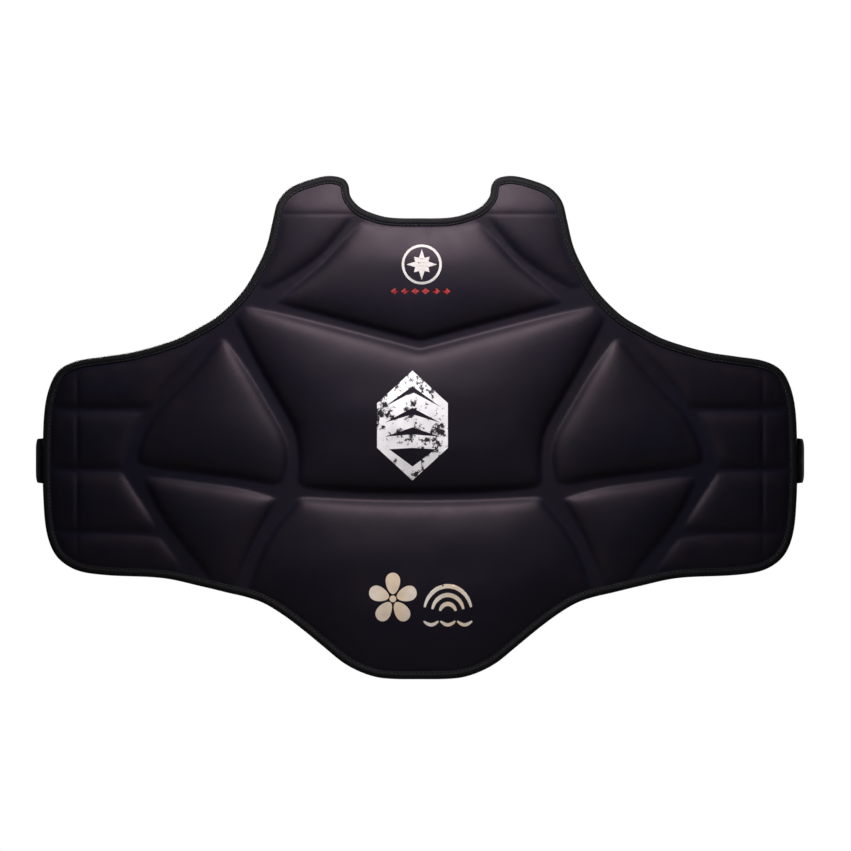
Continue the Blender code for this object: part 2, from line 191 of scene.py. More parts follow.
def inside(points, loop):
    x, z = points[:, 0][:, None], points[:, 1][:, None]
    ax, az = loop[:, 0][None], loop[:, 1][None]
    bx, bz = np.roll(loop[:, 0], -1)[None], np.roll(loop[:, 1], -1)[None]
    hit = ((az > z) != (bz > z)) & (x < (bx - ax) * (z - az) / (bz - az + 1e-15) + ax)
    return hit.sum(1) % 2 == 1


OUTLINE = resample(soften(resample(hermite_loop(whole(HALF), 75), 1.0), 6), 2.6)

LOOPS = []                 # (name and side, dense loop, rim height, crown height)
for name, shape, both, rim_h, crown_h, corner in PADS:
    ready = [("", whole(shape))] if both else [("_left", clockwise(shape)),
                                               ("_right", mirrored(shape))]
    for side, p in ready:
        loop = soften(resample(hermite_loop(p, corner), 1.0), 7)
        LOOPS.append((name + side, resample(loop, 2.8), rim_h, crown_h))
INNER = resample(OUTLINE + normals_of(OUTLINE) * BIND_IN, 2.6)


def inward(loop, depth):
    """A loop moved inwards, without the points that would cross over."""
    q = loop + normals_of(loop) * depth
    keep = (distance_to(q, loop) > abs(depth) - 0.06)
    keep &= inside(q, loop) if depth > 0 else ~inside(q, loop)
    return q[keep]


class Cloud:
    """Points kept apart from each other, the first ones given winning."""

    def __init__(self):
        self.points, self.cells = [], {}

    def add(self, pts, apart, force=False):
        ids = []
        for x, z in pts:
            cx, cz = int(x // 4), int(z // 4)
            if not force:
                near = False
                for i in (cx - 1, cx, cx + 1):
                    for j in (cz - 1, cz, cz + 1):
                        for k in self.cells.get((i, j), ()):
                            q = self.points[k]
                            if (q[0] - x) ** 2 + (q[1] - z) ** 2 < apart * apart:
                                near = True
                                break
                        if near:
                            break
                    if near:
                        break
                if near:
                    continue
            self.cells.setdefault((cx, cz), []).append(len(self.points))
            ids.append(len(self.points))
            self.points.append((float(x), float(z)))
        return ids


def mesh_domain(border, loops, depths, outer_depths, grid, lines=(), inner=()):
    """Triangles over a domain that follow its pad rims. Returns points and triangles."""
    cloud = Cloud()
    edges = []

    def ring(ids):
        edges.extend(zip(ids, ids[1:] + ids[:1]))

    ring(cloud.add(border, 0, force=True))
    if len(inner):
        ring(cloud.add(inner, 0, force=True))
    for loop in loops:
        keep = inside(loop, inner if len(inner) else border)
        if len(inner):
            keep &= distance_to(loop, inner) > 1.0
        ids = cloud.add(loop[keep], 0, force=True)
        number = {int(k): i for k, i in zip(np.where(keep)[0], ids)}
        for k in range(len(loop)):
            a, b = number.get(k), number.get((k + 1) % len(loop))
            if a is not None and b is not None:
                edges.append((a, b))
    for x0, z0, x1, z1, step in lines:
        n = int(math.hypot(x1 - x0, z1 - z0) / step)
        t = np.linspace(0, 1, n)[:, None]
        pts = np.array([[x0, z0]]) * (1 - t) + np.array([[x1, z1]]) * t
        cloud.add(pts[inside(pts, border)], 0.9)
    for depth in depths:
        for loop in loops:
            q = inward(loop, depth)
            cloud.add(q[inside(q, inner if len(inner) else border)], min(1.5, 0.62 * (depth + 0.6)))
    for depth in (0.9, 2.0, 3.4, 5.2, 7.5, 10.5):
        if len(inner):
            cloud.add(inward(inner, depth), min(1.5, 0.62 * (depth + 0.6)))
    for depth in outer_depths:
        for loop in loops:
            q = inward(loop, -depth)
            q = q[inside(q, border)]
            cloud.add(q, 1.1)
    edge_in = border + normals_of(border) * 2.2
    cloud.add(edge_in, 1.2)
    lo, hi = border.min(0), border.max(0)
    rows = []
    for k, z in enumerate(np.arange(lo[1], hi[1], grid * 0.866)):
        x = np.arange(lo[0], hi[0], grid) + (grid / 2 if k % 2 else 0)
        rows.append(np.stack([x, np.full_like(x, z)], 1))
    g = np.concatenate(rows)
    g = g[inside(g, border)]
    cloud.add(g, grid * 0.62)
    vs = [Vector(p) for p in cloud.points]
    out = delaunay_2d_cdt(vs, edges, [], 0, 1e-5)
    pts = np.array([(v.x, v.y) for v in out[0]])
    tris = np.array([f for f in out[2] if len(f) == 3])
    mid = pts[tris].mean(1)
    tris = tris[inside(mid, border)]
    p, q, r = pts[tris[:, 0]], pts[tris[:, 1]], pts[tris[:, 2]]
    area2 = (q[:, 0] - p[:, 0]) * (r[:, 1] - p[:, 1]) - (r[:, 0] - p[:, 0]) * (q[:, 1] - p[:, 1])
    tris = tris[np.abs(area2) > 1e-4]
    area2 = area2[np.abs(area2) > 1e-4]
    tris[area2 < 0] = tris[area2 < 0][:, ::-1]
    used, tris = np.unique(tris, return_inverse=True)
    pts, tris = pts[used], tris.reshape(-1, 3)
    return pts, tris


def relaxed(pts, tris, free, reach, load=1.0):
    """A stretched skin held at 0 where it isn't free: solves h - reach^2 lap(h) = load on the triangles."""
    n = len(pts)
    i, j, w = [], [], []
    mass = np.zeros(n)
    for a, b, c in ((0, 1, 2), (1, 2, 0), (2, 0, 1)):
        u = pts[tris[:, b]] - pts[tris[:, a]]
        v = pts[tris[:, c]] - pts[tris[:, a]]
        cross = u[:, 0] * v[:, 1] - u[:, 1] * v[:, 0]
        cot = (u * v).sum(1) / np.maximum(cross, 1e-6)
        i.append(tris[:, b]); j.append(tris[:, c]); w.append(0.5 * cot)
        mass += np.bincount(tris[:, a], np.abs(cross) / 6, n)
    i, j, w = np.concatenate(i), np.concatenate(j), np.concatenate(w)
    # one weight for each edge: the two triangles' shares are added before they are capped
    key, at = np.unique(np.minimum(i, j) * n + np.maximum(i, j), return_inverse=True)
    w = np.clip(np.bincount(at.ravel(), w, len(key)), 0.0, 30.0)
    i, j = key // n, key % n
    k = reach * reach

    def apply(h):
        d = w * (h[i] - h[j])
        return mass * h + k * (np.bincount(i, d, n) - np.bincount(j, d, n))

    diag = mass + k * (np.bincount(i, w, n) + np.bincount(j, w, n))
    b = np.where(free, mass * load, 0.0)
    x = np.zeros(n)
    r = np.where(free, b - apply(x), 0.0)
    z = r / diag
    p = z.copy()
    rz = r @ z
    for _ in range(600):
        ap = np.where(free, apply(p), 0.0)
        alpha = rz / (p @ ap)
        x += alpha * p
        r -= alpha * ap
        if np.sqrt(r @ r) < 1e-6 * np.sqrt(b @ b):
            break
        z = r / diag
        new = r @ z
        p = z + (new / rz) * p
        rz = new
    return x


def sweep(x):
    a = np.maximum(np.abs(x) - FLAT_HALF, 0.0)
    return SWEEP_R - np.sqrt(SWEEP_R ** 2 - a ** 2)


def lean(z):
    """The shoulder flaps stand back above their crease, with a soft start."""
    t = (np.asarray(z, float) - CREASE_Z) / 3.0
    return FLAP_LEAN * 3.0 * np.where(t > 20, t, np.log1p(np.exp(np.minimum(t, 20))))


def waves(x, z, size, seed):
    """Smooth seeded unevenness, about -1 to 1."""
    rng = np.random.default_rng(seed)
    out = np.zeros_like(np.asarray(x, float))
    for _ in range(9):
        ang, ph = rng.uniform(0, 2 * math.pi, 2)
        k = 2 * math.pi / (size * rng.uniform(0.7, 1.5))
        out += np.sin(k * (x * math.cos(ang) + z * math.sin(ang)) + ph)
    return out / 4.5


# ------------------------------------------------------------------ the face
BORDER = OUTLINE + normals_of(OUTLINE) * 1.6
pad_loops = [l[1] for l in LOOPS]
GROOVE_X = 372.0
lines = []
for s in (-1, 1):
    for dx in (-4.5, -2.6, -1.2, 0, 1.2, 2.6, 4.5):
        lines.append((s * (GROOVE_X + dx), 70, s * (GROOVE_X + dx), -165, 2.6))
    for dz in (-5, -3.2, -1.8, -0.7, 0.4, 1.6, 3.0, 5):
        lines.append((s * 60, CREASE_Z - 8 + dz, s * 160, CREASE_Z - 8 + dz, 2.6))
    for dx in (-12, -8, -4, 0, 4, 8, 12):
        lines.append((s * (HINGE_X + dx), 76, s * (HINGE_X + dx), -172, 4.0))
pts, tris = mesh_domain(BORDER, pad_loops, (0.7, 1.5, 2.6, 4.0, 6.0, 8.6, 12.0, 16.0),
                        (1.4, 3.2), 4.8, lines, INNER)
n = len(pts)
print("face points", n, "triangles", len(tris))

from_inner = distance_to(pts, INNER) * np.where(inside(pts, INNER), 1.0, -1.0)
pad_of = np.full(n, -1)
for k, (_, loop, _, _) in enumerate(LOOPS):
    lo, hi = loop.min(0) - 1, loop.max(0) + 1
    near = np.where(((pts > lo) & (pts < hi)).all(1))[0]
    ok = inside(pts[near], loop) & (distance_to(pts[near], loop) > 0.02)
    pad_of[near[ok]] = k
pad_of[from_inner < 0.02] = -1
free = pad_of >= 0
X, Z = pts[:, 0], pts[:, 1]


def step(v, a, b):
    t = np.clip((v - a) / (b - a), 0, 1)
    return t * t * (3 - 2 * t)


rim_u = relaxed(pts, tris, free, 5.2)
crown_u = relaxed(pts, tris, free, 42.0)
rim_h = np.array([l[2] for l in LOOPS] + [0.0])[pad_of]
crown_h = np.array([l[3] for l in LOOPS] + [0.0])[pad_of]
edge = 1.0 - 0.55 * np.exp(-np.maximum(from_inner, 0) / 17.0)
height = (0.76 * rim_h * rim_u + crown_h * crown_u * 1.30) * edge
height *= 1.0 - 0.62 * step(Z, 165, 250)

groove = np.exp(-((np.abs(X) - GROOVE_X) / 2.3) ** 2) * (Z < 82) * free
height -= groove * np.minimum(4.6, 0.5 * height)
crease_line = CREASE_Z - 8.0
height -= 0.75 * np.exp(-((Z - crease_line) / 1.8) ** 2) * (np.abs(X) > 58) * free
neck = free & (np.abs(X) < 62) & (Z > 196)
height -= neck * 0.9 * np.exp(-((from_inner - 5.0) / 1.5) ** 2)
puck = waves(X, Z, 27.0, 3) * np.exp(-((rim_u - 0.7) / 0.3) ** 2) * free
height += 0.12 * puck + 0.6 * waves(X, Z, 70.0, 5) * np.clip(crown_u * 1.6, 0, 1)
height += 0.10 * waves(X, Z, 11.0, 11) * (~free) * (from_inner > 0)
height = relaxed(pts, tris, np.ones(n, bool), 1.5, height)
height[from_inner <= 0] = np.minimum(height[from_inner <= 0], 0.4)


def face_y(x, z, h):
    return FACE_Y - h + sweep(x) + lean(z)


co = np.stack([X, face_y(X, Z, height), Z], 1) * MM
tri_front = tris[:, ::-1]      # wound so that the normals point to -Y


def vertex_normals(co, tris):
    a, b, c = co[tris[:, 0]], co[tris[:, 1]], co[tris[:, 2]]
    f = np.cross(b - a, c - a)
    out = np.zeros_like(co)
    for k in range(3):
        for ax in range(3):
            out[:, ax] += np.bincount(tris[:, k], f[:, ax], len(co))
    return out / (np.linalg.norm(out, axis=1)[:, None] + 1e-20)


test = vertex_normals(co, tris)
if test[:, 1].mean() > 0:
    tri_front = tris[:, ::-1]
else:
    tri_front = tris
face_normals = vertex_normals(co, tri_front)


def mesh_object(name, verts, faces, normals=None, attrs=None):
    me = bpy.data.meshes.new(name)
    me.from_pydata([tuple(v) for v in verts], [], [tuple(int(i) for i in f) for f in faces])
    me.polygons.foreach_set("use_smooth", [True] * len(me.polygons))
    if attrs:
        for key, values in attrs.items():
            a = me.attributes.new(key, "FLOAT", "POINT")
            a.data.foreach_set("value", np.asarray(values, np.float32))
    me.update()
    if normals is not None:
        me.normals_split_custom_set_from_vertices([tuple(v) for v in normals])
    ob = bpy.data.objects.new(name, me)
    bpy.context.scene.collection.objects.link(ob)
    return ob


def part_of(name, co, faces, mask, normals, attrs=None):
    """The faces in mask as an object of their own, with the joined sheet's normals."""
    f = faces[mask]
    used, idx = np.unique(f, return_inverse=True)
    return mesh_object(name, co[used], idx.reshape(-1, 3), normals[used],
                       {k: v[used] for k, v in (attrs or {}).items()})


def regions(mid):
    """Which piece each triangle of a sheet belongs to."""
    out = np.zeros(len(mid), int)
    up = mid[:, 1] > 188
    out[up & (mid[:, 0] >= 0)] = 1
    out[up & (mid[:, 0] < 0)] = 2
    out[(mid[:, 0] > 268) & ~up] = 3
    out[(mid[:, 0] < -268) & ~up] = 4
    return out


REGION_NAMES = ["center", "shoulder_left", "shoulder_right", "side_left", "side_right"]


def place(obj, region):
    """Rides the centre piece of a sheet on the torso; the other pieces only get their transform baked into their
    mesh.
    """
    if region == 0:
        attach(obj, "torso")
        return
    if region in (1, 2):
        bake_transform(obj)
    else:
        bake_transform(obj)


# ------------------------------------------------------------------ materials
def new_material(name):
    m = bpy.data.materials.new(name)
    m.use_nodes = True
    nt = m.node_tree
    bsdf = nt.nodes["Principled BSDF"]
    return m, nt, bsdf


def nd(nt, kind, **kw):
    node = nt.nodes.new(kind)
    for k, v in kw.items():
        if k in node.inputs:
            node.inputs[k].default_value = v
        else:
            setattr(node, k, v)
    return node


def ramp(nt, src, stops):
    r = nt.nodes.new("ShaderNodeValToRGB")
    els = r.color_ramp.elements
    while len(els) < len(stops):
        els.new(0.5)
    for e, (pos, col) in zip(els, stops):
        e.position = pos
        e.color = col if len(col) == 4 else (*col, 1.0)
    nt.links.new(src, r.inputs[0])
    return r.outputs[0]


def remap(nt, src, a, b, lo=0.0, hi=1.0):
    m = nt.nodes.new("ShaderNodeMapRange")
    m.inputs["From Min"].default_value = lo
    m.inputs["From Max"].default_value = hi
    m.inputs["To Min"].default_value = a
    m.inputs["To Max"].default_value = b
    nt.links.new(src, m.inputs["Value"])
    return m.outputs["Result"]


def math_node(nt, op, a, b=None):
    m = nt.nodes.new("ShaderNodeMath")
    m.operation = op
    for k, v in enumerate((a, b)):
        if v is None:
            continue
        if isinstance(v, (int, float)):
            m.inputs[k].default_value = v
        else:
            nt.links.new(v, m.inputs[k])
    return m.outputs[0]


def bump(nt, bsdf, heights):
    """Chained bumps: (height socket, strength, distance in metres)."""
    last = None
    for src, strength, dist in heights:
        b = nt.nodes.new("ShaderNodeBump")
        b.inputs["Strength"].default_value = strength
        b.inputs["Distance"].default_value = dist
        nt.links.new(src, b.inputs["Height"])
        if last:
            nt.links.new(last, b.inputs["Normal"])
        last = b.outputs["Normal"]
    nt.links.new(last, bsdf.inputs["Normal"])


def coords(nt, kind="Object"):
    t = nt.nodes.new("ShaderNodeTexCoord")
    return t.outputs[kind]


def pu_leather():
    m, nt, bsdf = new_material("pu_leather_black")
    c = coords(nt)
    grain = nd(nt, "ShaderNodeTexVoronoi", feature="DISTANCE_TO_EDGE", Scale=820.0)
    warp = nd(nt, "ShaderNodeTexNoise", Scale=260.0, Detail=3.0)
    fine = nd(nt, "ShaderNodeTexNoise", Scale=2400.0, Detail=2.0)
    broad = nd(nt, "ShaderNodeTexNoise", Scale=9.0, Detail=4.0, Roughness=0.55)
    patch = nd(nt, "ShaderNodeTexNoise", Scale=42.0, Detail=5.0, Roughness=0.6)
    crease = nd(nt, "ShaderNodeTexNoise", Scale=70.0, Detail=6.0, Roughness=0.7)
    for node in (warp, fine, broad, patch, crease):
        nt.links.new(c, node.inputs["Vector"])
    mixv = nt.nodes.new("ShaderNodeVectorMath")
    mixv.operation = "MULTIPLY_ADD"
    nt.links.new(warp.outputs["Color"], mixv.inputs[0])
    mixv.inputs[1].default_value = (0.0009, 0.0009, 0.0009)
    nt.links.new(c, mixv.inputs[2])
    nt.links.new(mixv.outputs[0], grain.inputs["Vector"])
    col = ramp(nt, broad.outputs["Fac"], [(0.30, (0.0018, 0.0026, 0.0082)),
                                          (0.52, (0.0024, 0.0028, 0.0080)),
                                          (0.72, (0.0036, 0.0032, 0.0072))])
    rub = nt.nodes.new("ShaderNodeAttribute")
    rub.attribute_name = "rim"
    worn = math_node(nt, "MULTIPLY", rub.outputs["Fac"],
                     remap(nt, patch.outputs["Fac"], 0.2, 1.0, 0.30, 0.74))
    mix = nd(nt, "ShaderNodeMix", data_type="RGBA")
    nt.links.new(worn, mix.inputs["Factor"])
    nt.links.new(col, mix.inputs["A"])
    mix.inputs["B"].default_value = (0.0070, 0.0054, 0.0080, 1.0)
    nt.links.new(mix.outputs["Result"], bsdf.inputs["Base Color"])
    rough = math_node(nt, "ADD", remap(nt, patch.outputs["Fac"], 0.51, 0.61),
                      remap(nt, crease.outputs["Fac"], -0.035, 0.035))
    nt.links.new(rough, bsdf.inputs["Roughness"])
    bsdf.inputs["Specular IOR Level"].default_value = 0.30
    bsdf.inputs["Specular Tint"].default_value = (1.0, 0.80, 0.90, 1.0)
    bump(nt, bsdf, [(grain.outputs["Distance"], 0.13, 0.0003),
                    (fine.outputs["Fac"], 0.06, 0.0002),
                    (crease.outputs["Fac"], 0.06, 0.0010)])
    return m


def cloth_tape(name, colour, rib_scale, rough=0.62, use_uv=True, cross=0.5):
    """Woven tape: ribs across or along it, from its own run and width coordinates."""
    m, nt, bsdf = new_material(name)
    run = nt.nodes.new("ShaderNodeAttribute"); run.attribute_name = "run"
    wid = nt.nodes.new("ShaderNodeAttribute"); wid.attribute_name = "wid"
    a = math_node(nt, "SINE", math_node(nt, "MULTIPLY", run.outputs["Fac"], rib_scale))
    b = math_node(nt, "SINE", math_node(nt, "MULTIPLY", wid.outputs["Fac"], rib_scale * cross))
    weave = math_node(nt, "MULTIPLY", a, b)
    ribs = math_node(nt, "ADD", math_node(nt, "MULTIPLY", a, 0.6), weave)
    noise = nd(nt, "ShaderNodeTexNoise", Scale=160.0, Detail=5.0)
    nt.links.new(coords(nt), noise.inputs["Vector"])
    fuzz = nd(nt, "ShaderNodeTexNoise", Scale=2600.0, Detail=3.0)
    nt.links.new(coords(nt), fuzz.inputs["Vector"])
    dark = tuple(c * 0.6 for c in colour)
    lite = tuple(c * 1.7 for c in colour)
    col = ramp(nt, noise.outputs["Fac"], [(0.3, dark), (0.5, colour), (0.75, lite)])
    shade = nd(nt, "ShaderNodeMix", data_type="RGBA", blend_type="MULTIPLY")
    shade.inputs["Factor"].default_value = 0.55
    nt.links.new(col, shade.inputs["A"])
    nt.links.new(ramp(nt, remap(nt, ribs, 0, 1, -1.6, 1.6),
                      [(0.2, (0.35, 0.35, 0.35)), (0.7, (1, 1, 1))]), shade.inputs["B"])
    nt.links.new(shade.outputs["Result"], bsdf.inputs["Base Color"])
    nt.links.new(remap(nt, fuzz.outputs["Fac"], rough - 0.08, rough + 0.1), bsdf.inputs["Roughness"])
    bsdf.inputs["Specular IOR Level"].default_value = 0.18
    bsdf.inputs["Sheen Weight"].default_value = 0.02
    bsdf.inputs["Sheen Roughness"].default_value = 0.5
    bump(nt, bsdf, [(ribs, 0.35, 0.00025), (fuzz.outputs["Fac"], 0.18, 0.0002)])
    return m


def lining_cloth():
    m, nt, bsdf = new_material("lining_woven_nylon")
    c = coords(nt)
    sep = nt.nodes.new("ShaderNodeSeparateXYZ")
    nt.links.new(c, sep.inputs[0])
    k = 2 * math.pi / 0.0016
    a = math_node(nt, "SINE", math_node(nt, "MULTIPLY", sep.outputs["X"], k))
    b = math_node(nt, "SINE", math_node(nt, "MULTIPLY", sep.outputs["Z"], k))
    weave = math_node(nt, "MULTIPLY", a, b)
    broad = nd(nt, "ShaderNodeTexNoise", Scale=14.0, Detail=5.0)
    fuzz = nd(nt, "ShaderNodeTexNoise", Scale=1900.0, Detail=3.0)
    for node in (broad, fuzz):
        nt.links.new(c, node.inputs["Vector"])
    col = ramp(nt, broad.outputs["Fac"], [(0.3, (0.010, 0.010, 0.012)), (0.7, (0.019, 0.019, 0.022))])
    shade = nd(nt, "ShaderNodeMix", data_type="RGBA", blend_type="MULTIPLY")
    shade.inputs["Factor"].default_value = 0.6
    nt.links.new(col, shade.inputs["A"])
    nt.links.new(ramp(nt, remap(nt, weave, 0, 1, -1, 1), [(0.1, (0.3, 0.3, 0.3)), (0.8, (1, 1, 1))]),
                 shade.inputs["B"])
    nt.links.new(shade.outputs["Result"], bsdf.inputs["Base Color"])
    nt.links.new(remap(nt, fuzz.outputs["Fac"], 0.62, 0.82), bsdf.inputs["Roughness"])
    bsdf.inputs["Sheen Weight"].default_value = 0.06
    bsdf.inputs["Sheen Roughness"].default_value = 0.45
    bump(nt, bsdf, [(weave, 0.4, 0.0003), (fuzz.outputs["Fac"], 0.2, 0.0002)])
    return m


def pile(name, colour, scale, strength, rough):
    """Hook or loop tape."""
    m, nt, bsdf = new_material(name)
    c = coords(nt)
    v = nd(nt, "ShaderNodeTexVoronoi", Scale=scale)
    f = nd(nt, "ShaderNodeTexNoise", Scale=scale * 1.7, Detail=4.0)
    for node in (v, f):
        nt.links.new(c, node.inputs["Vector"])
    col = ramp(nt, v.outputs["Distance"], [(0.0, tuple(x * 2.2 for x in colour)), (0.5, colour),
                                            (0.9, tuple(x * 0.4 for x in colour))])
    nt.links.new(col, bsdf.inputs["Base Color"])
    nt.links.new(remap(nt, f.outputs["Fac"], rough - 0.1, rough + 0.1), bsdf.inputs["Roughness"])
    bsdf.inputs["Sheen Weight"].default_value = 0.3
    bump(nt, bsdf, [(v.outputs["Distance"], strength, 0.0006), (f.outputs["Fac"], 0.4, 0.0004)])
    return m


def thread_mat():
    m, nt, bsdf = new_material("thread_black")
    run = nt.nodes.new("ShaderNodeAttribute"); run.attribute_name = "run"
    c = coords(nt)
    t = nd(nt, "ShaderNodeTexNoise", Scale=1500.0, Detail=2.0)
    nt.links.new(c, t.inputs["Vector"])
    col = ramp(nt, t.outputs["Fac"], [(0.3, (0.008, 0.008, 0.010)), (0.7, (0.020, 0.019, 0.022))])
    nt.links.new(col, bsdf.inputs["Base Color"])
    nt.links.new(remap(nt, t.outputs["Fac"], 0.38, 0.55), bsdf.inputs["Roughness"])
    bump(nt, bsdf, [(t.outputs["Fac"], 0.5, 0.0002)])
    return m


def film(name, stops, axis, lo, hi, worn, rough=0.42):
    """Heat-transfer print: a colour ramp across the print, which on the silver and gold films is a painted
    reflection, scuffed through to the leather.
    """
    m, nt, bsdf = new_material(name)
    c = coords(nt)
    sep = nt.nodes.new("ShaderNodeSeparateXYZ")
    nt.links.new(c, sep.inputs[0])
    # ink colour ramped along one axis; on the silver and gold films its light and dark bands are painted
    # reflection
    col = ramp(nt, remap(nt, sep.outputs[axis], 0, 1, lo, hi), stops)
    scuff = nd(nt, "ShaderNodeTexNoise", Scale=130.0, Detail=8.0, Roughness=0.72)
    big = nd(nt, "ShaderNodeTexNoise", Scale=34.0, Detail=3.0)
    tone = nd(nt, "ShaderNodeTexNoise", Scale=60.0, Detail=4.0)
    grain = nd(nt, "ShaderNodeTexNoise", Scale=1400.0, Detail=3.0)
    for node in (scuff, big, tone, grain):
        nt.links.new(c, node.inputs["Vector"])
    both = math_node(nt, "ADD", math_node(nt, "MULTIPLY", scuff.outputs["Fac"], 0.65),
                     math_node(nt, "MULTIPLY", big.outputs["Fac"], 0.35))
    mask = ramp(nt, both, [(worn - 0.012, (1, 1, 1)), (worn + 0.012, (0, 0, 0))])
    shade = nd(nt, "ShaderNodeMix", data_type="RGBA", blend_type="MULTIPLY")
    shade.inputs["Factor"].default_value = 1.0
    nt.links.new(col, shade.inputs["A"])
    nt.links.new(ramp(nt, tone.outputs["Fac"], [(0.3, (0.82, 0.82, 0.82)), (0.6, (1, 1, 1))]),
                 shade.inputs["B"])
    mix = nd(nt, "ShaderNodeMix", data_type="RGBA")
    nt.links.new(mask, mix.inputs["Factor"])
    nt.links.new(shade.outputs["Result"], mix.inputs["A"])
    mix.inputs["B"].default_value = (0.012, 0.011, 0.015, 1.0)
    nt.links.new(mix.outputs["Result"], bsdf.inputs["Base Color"])
    nt.links.new(remap(nt, grain.outputs["Fac"], rough - 0.08, rough + 0.12), bsdf.inputs["Roughness"])
    bump(nt, bsdf, [(grain.outputs["Fac"], 0.15, 0.0002)])
    return m


LEATHER = pu_leather()
BINDING = cloth_tape("binding_tape_black", (0.0030, 0.0029, 0.0042), 2 * math.pi / 0.9, 0.66)
WEBBING = cloth_tape("elastic_webbing_black", (0.014, 0.014, 0.018), 2 * math.pi / 1.7, 0.7)
WEBBING_GREY = cloth_tape("elastic_webbing_grey", (0.060, 0.061, 0.064), 2 * math.pi / 1.7, 0.7)
LINING = lining_cloth()
HOOK = pile("hook_tape", (0.016, 0.016, 0.018), 900.0, 0.9, 0.62)
LOOP = pile("loop_tape", (0.013, 0.013, 0.015), 600.0, 0.6, 0.9)
THREAD = thread_mat()

# the face, cut into pieces by region; the centre piece rides on the torso
mid = pts[tris].mean(1)
where = regions(mid)
rim_attr = np.exp(-((rim_u - 0.75) / 0.2) ** 2) * free
covers = {}
for k, label in enumerate(REGION_NAMES):
    ob = part_of(f"face_leather_{label}", co, tri_front, where == k, face_normals,
                 {"rim": rim_attr})
    ob.data.materials.append(LEATHER)
    covers[label] = ob

FACE_TREE = BVHTree.FromPolygons([Vector(v) for v in co], [tuple(int(i) for i in f) for f in tri_front])


def on_face(x, z, lift=0.0):
    """Point and normal on the face at (x, z) mm, lifted off it by that many mm."""
    hit = FACE_TREE.ray_cast(Vector((x * MM, -0.3, z * MM)), Vector((0, 1, 0)))
    if hit[0] is None:
        p, nrm = Vector((x * MM, float(face_y(x, z, 0.0)) * MM, z * MM)), Vector((0, -1, 0))
    else:
        p, nrm = hit[0], hit[1]
    if nrm.y > 0:
        nrm = -nrm
    return p + nrm * lift * MM, nrm


# ------------------------------------------------------------------ the lining
quilt = [l for l in LOOPS if not l[0].startswith("row")]
lpts, ltris = mesh_domain(BORDER, [resample(l[1], 5.0) for l in quilt], (2.0, 5.0, 9.0), (), 9.0,
                          [l for l in lines if abs(l[0]) > 300 and abs(abs(l[0]) - HINGE_X) < 13]
                          + [(s * 60, CREASE_Z + dz, s * 160, CREASE_Z + dz, 4.0)
                             for s in (-1, 1) for dz in (-10, -5, 0, 5)], INNER)
ln = len(lpts)
lfree = np.zeros(ln, bool)
for _, loop, _, _ in quilt:
    lfree |= inside(lpts, loop) & (distance_to(lpts, loop) > 0.3)
lfree &= inside(lpts, INNER) & (distance_to(lpts, INNER) > 0.5)
lin_u = relaxed(lpts, ltris, lfree, 9.0)
lx, lz = lpts[:, 0], lpts[:, 1]
proud = 1.9 * lin_u + 0.3 * waves(lx, lz, 34.0, 21) * lfree
lco = np.stack([lx, proud + sweep(lx) + lean(lz), lz], 1) * MM
lnorm = vertex_normals(lco, ltris)
ltri = ltris if lnorm[:, 1].mean() > 0 else ltris[:, ::-1]
lnorm = vertex_normals(lco, ltri)
lwhere = regions(lpts[ltris].mean(1))
linings = {}
for k, label in enumerate(REGION_NAMES):
    ob = part_of(f"lining_cloth_{label}", lco, ltri, lwhere == k, lnorm)
    ob.data.materials.append(LINING)
    linings[label] = ob


# ------------------------------------------------------------------ the binding
def closed_run(loop):
    q = np.vstack([loop, loop[:1]])
    return np.concatenate([[0], np.cumsum(np.hypot(*np.diff(q, axis=0).T))])[:-1]


OUT_N = soften(normals_of(OUTLINE), 3)
OUT_N /= np.hypot(OUT_N[:, 0], OUT_N[:, 1])[:, None]
RUN = closed_run(OUTLINE)
# depth in from the edge, and y, round the folded tape from the face to the lining
PROFILE = [(8.6, -8.9), (8.7, -9.6), (8.2, -10.15), (7.3, -10.2), (6.9, -9.85), (6.4, -10.25),
           (4.5, -10.75), (2.6, -10.5), (1.1, -9.6), (0.25, -8.0), (-0.1, -5.8), (-0.1, -3.4),
           (0.4, -1.2), (1.4, 0.2), (3.0, 0.75), (5.6, 0.85), (6.4, 0.65), (6.9, 0.35), (7.3, 0.6),
           (8.2, 0.6), (8.7, 0.25), (8.6, -0.3)]


def binding_piece(name, idx):
    base, nrm, run = OUTLINE[idx], OUT_N[idx], RUN[idx]
    rows, attr_run, attr_wid = [], [], []
    width = np.concatenate([[0], np.cumsum([math.dist(a, b) for a, b in zip(PROFILE, PROFILE[1:])])])
    wob = 0.12 * waves(base[:, 0], base[:, 1], 16.0, 31)
    for i in range(len(idx)):
        for k, (d, y) in enumerate(PROFILE):
            x, z = base[i] + nrm[i] * (d + (wob[i] if d > 6 else 0))
            rows.append((x, y + sweep(x) + lean(z) + (wob[i] * 0.6 if y < -9 else 0), z))
            attr_run.append(run[i])
            attr_wid.append(width[k])
    rows = np.array(rows) * MM
    m = len(PROFILE)
    faces = []
    for i in range(len(idx) - 1):
        for k in range(m - 1):
            a = i * m + k
            faces.append((a, a + 1, a + m + 1, a + m))
    ob = mesh_object(name, rows, faces, None, {"run": attr_run, "wid": attr_wid})
    me = ob.data
    bm = bmesh.new()
    bm.from_mesh(me)
    bmesh.ops.recalc_face_normals(bm, faces=bm.faces[:])
    f = bm.faces[(len(idx) // 2) * (m - 1) + 6]
    if f.normal.y > 0:
        bmesh.ops.reverse_faces(bm, faces=bm.faces[:])
    bm.to_mesh(me)
    bm.free()
    ob.data.materials.append(BINDING)
    return ob


def nearest(p):
    return int(np.argmin(((OUTLINE - np.array(p)) ** 2).sum(1)))


def index_run(a, b):
    i, j = nearest(a), nearest(b)
    if j <= i:
        j += len(OUTLINE)
    return np.arange(i, j + 1) % len(OUTLINE)


